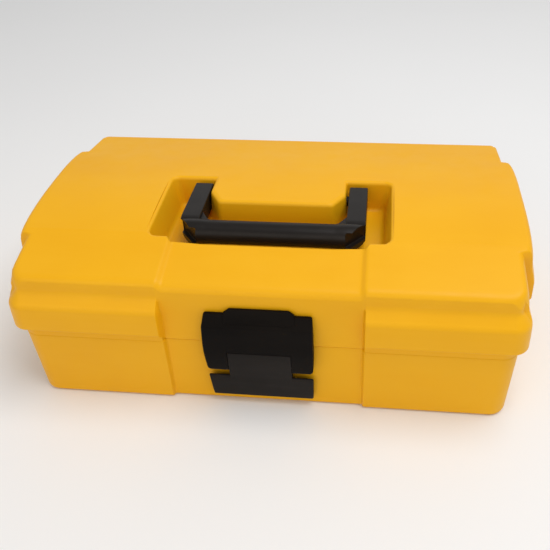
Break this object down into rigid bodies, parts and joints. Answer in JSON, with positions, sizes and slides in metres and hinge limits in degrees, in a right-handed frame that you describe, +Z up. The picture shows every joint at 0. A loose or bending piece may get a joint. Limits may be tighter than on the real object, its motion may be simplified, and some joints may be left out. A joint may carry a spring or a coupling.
{
  "type": "toolbox",
  "caption": "Moulded toolbox with an arched hinged lid, a recessed folding carry handle, a front draw latch and a lift-out tray.",
  "frame": {"origin": "on the base's underside, under the middle of the tub's plan", "axes": "+X along the length to the right of someone facing the latch, -Y out of the latch side, +Z up"},
  "size_m": [0.3514, 0.2124, 0.1135],
  "materials": {
    "tub": "satin yellow polypropylene, fine moulded grain",
    "lid": "satin yellow polypropylene, fine moulded grain",
    "handle": "satin black polypropylene",
    "latch_upper": "satin black polypropylene",
    "latch_lower": "satin black polypropylene",
    "tray": "fine-grained black polypropylene",
    "lever_pin": "drawn steel wire pin",
    "link_pin": "drawn steel wire pin",
    "left_hinge_pin": "drawn steel pin",
    "right_hinge_pin": "drawn steel pin"
  },
  "bodies": {
    "tub": {"base_tub": "tub", "latch_lever_pin": "lever_pin", "hinge_pin_left": "left_hinge_pin", "hinge_pin_right": "right_hinge_pin"},
    "lid": {"lid_shell": "lid"},
    "handle": {"carry_handle": "handle"},
    "lever": {"latch_lever": "latch_lower"},
    "link": {"latch_link": "latch_upper", "latch_link_pin": "link_pin"},
    "tray": {"lift_out_tray": "tray"}
  },
  "joints": [
    {"name": "lid_hinge", "type": "hinge", "parent": "tub", "child": "lid", "pos_m": [0, 0.106, 0.0575], "axis": [-1, 0, 0], "range_deg": [0, 100]},
    {"name": "handle_fold", "type": "hinge", "parent": "lid", "child": "handle", "pos_m": [0, 0.0035, 0.1035], "axis": [-1, 0, 0], "range_deg": [0, 90]},
    {"name": "latch_lever_hinge", "type": "hinge", "parent": "tub", "child": "lever", "pos_m": [0, -0.099, 0.0475], "axis": [-1, 0, 0], "range_deg": [0, 95]},
    {"name": "latch_link_hinge", "type": "hinge", "parent": "lever", "child": "link", "pos_m": [0, -0.0992, 0.0385], "axis": [-1, 0, 0], "range_deg": [-110, 0]},
    {"name": "tray_lift", "type": "slide", "parent": "tub", "child": "tray", "axis": [0, 0, 1], "range_m": [0, 0.1]}
  ],
  "couplings": [
    {"joint": "latch_link_hinge", "follows": "latch_lever_hinge", "ratio": -1.15},
    {"joint": "tray_lift", "follows": "lid_hinge", "m_per_rad": 0.057}
  ]
}
